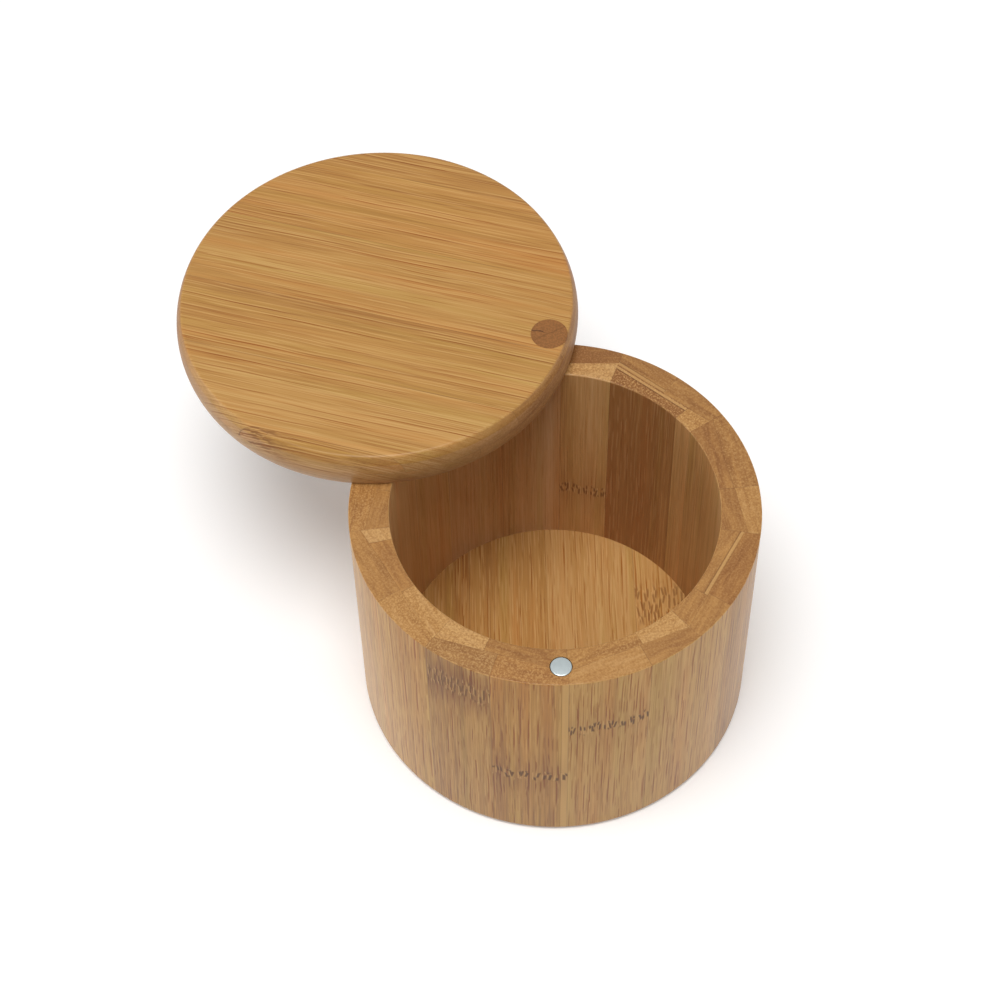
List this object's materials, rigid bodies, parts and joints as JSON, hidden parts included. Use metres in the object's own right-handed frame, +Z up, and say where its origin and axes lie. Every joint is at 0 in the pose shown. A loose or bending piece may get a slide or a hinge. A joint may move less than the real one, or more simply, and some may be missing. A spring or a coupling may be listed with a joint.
{
  "type": "salt box with swivel lid",
  "caption": "Round laminated-bamboo salt box: a turned staved wall with an inset floor and a flat lid that swivels sideways on a screw in the rim and is held shut by a disc magnet.",
  "frame": {"origin": "centre of the resting face, on the axis of the box", "axes": "+Z up along the axis of the box, +Y towards the pivot of the lid, -Y towards the magnet in the rim"},
  "size_m": [0.1279, 0.141, 0.0734],
  "materials": {
    "bamboo_light": "oiled satin, fine straight grain",
    "bamboo_honey": "oiled satin, fine straight grain",
    "bamboo_brown": "oiled satin, fine straight grain",
    "dark_bamboo_plug": "end grain, oiled satin",
    "steel_screw": "zinc plated",
    "steel_washer": "zinc plated",
    "plated_magnet": "nickel plated, bright"
  },
  "bodies": {
    "box": {"outer_strip_01": "bamboo_light", "outer_strip_02": "bamboo_honey", "outer_strip_03": "bamboo_brown", "outer_strip_04": "bamboo_light", "outer_strip_05": "bamboo_honey", "outer_strip_06": "bamboo_brown", "outer_strip_07": "bamboo_light", "outer_strip_08": "bamboo_honey", "outer_strip_09": "bamboo_brown", "outer_strip_10": "bamboo_light", "outer_strip_11": "bamboo_honey", "outer_strip_12": "bamboo_brown", "outer_strip_13": "bamboo_light", "outer_strip_14": "bamboo_honey", "outer_strip_15": "bamboo_brown", "outer_strip_16": "bamboo_light", "outer_strip_17": "bamboo_honey", "outer_strip_18": "bamboo_brown", "inner_strip_01": "bamboo_honey", "inner_strip_02": "bamboo_brown", "inner_strip_03": "bamboo_light", "inner_strip_04": "bamboo_honey", "inner_strip_05": "bamboo_brown", "inner_strip_06": "bamboo_light", "inner_strip_07": "bamboo_honey", "inner_strip_08": "bamboo_brown", "inner_strip_09": "bamboo_light", "inner_strip_10": "bamboo_honey", "inner_strip_11": "bamboo_brown", "inner_strip_12": "bamboo_light", "inner_strip_13": "bamboo_honey", "inner_strip_14": "bamboo_brown", "inner_strip_15": "bamboo_light", "inner_strip_16": "bamboo_honey", "inner_strip_17": "bamboo_brown", "inner_strip_18": "bamboo_light", "inner_strip_19": "bamboo_honey", "floor_strip_01": "bamboo_light", "floor_strip_02": "bamboo_honey", "floor_strip_03": "bamboo_brown", "floor_strip_04": "bamboo_light", "pivot_screw": "steel_screw", "pivot_washer": "steel_washer", "rim_magnet": "plated_magnet"},
    "lid": {"lid_top_strip_01": "bamboo_light", "lid_top_strip_02": "bamboo_honey", "lid_top_strip_03": "bamboo_brown", "lid_top_strip_04": "bamboo_light", "lid_top_strip_05": "bamboo_honey", "lid_top_strip_06": "bamboo_brown", "lid_under_strip_01": "bamboo_light", "lid_under_strip_02": "bamboo_honey", "lid_under_strip_03": "bamboo_brown", "lid_under_strip_04": "bamboo_light", "lid_under_strip_05": "bamboo_honey", "pivot_plug": "dark_bamboo_plug", "lid_magnet": "plated_magnet"}
  },
  "joints": [
    {"name": "lid_swivel", "type": "hinge", "parent": "box", "child": "lid", "pos_m": [0, 0.04, 0.0688], "axis": [0, 0, 1], "continuous": true}
  ]
}
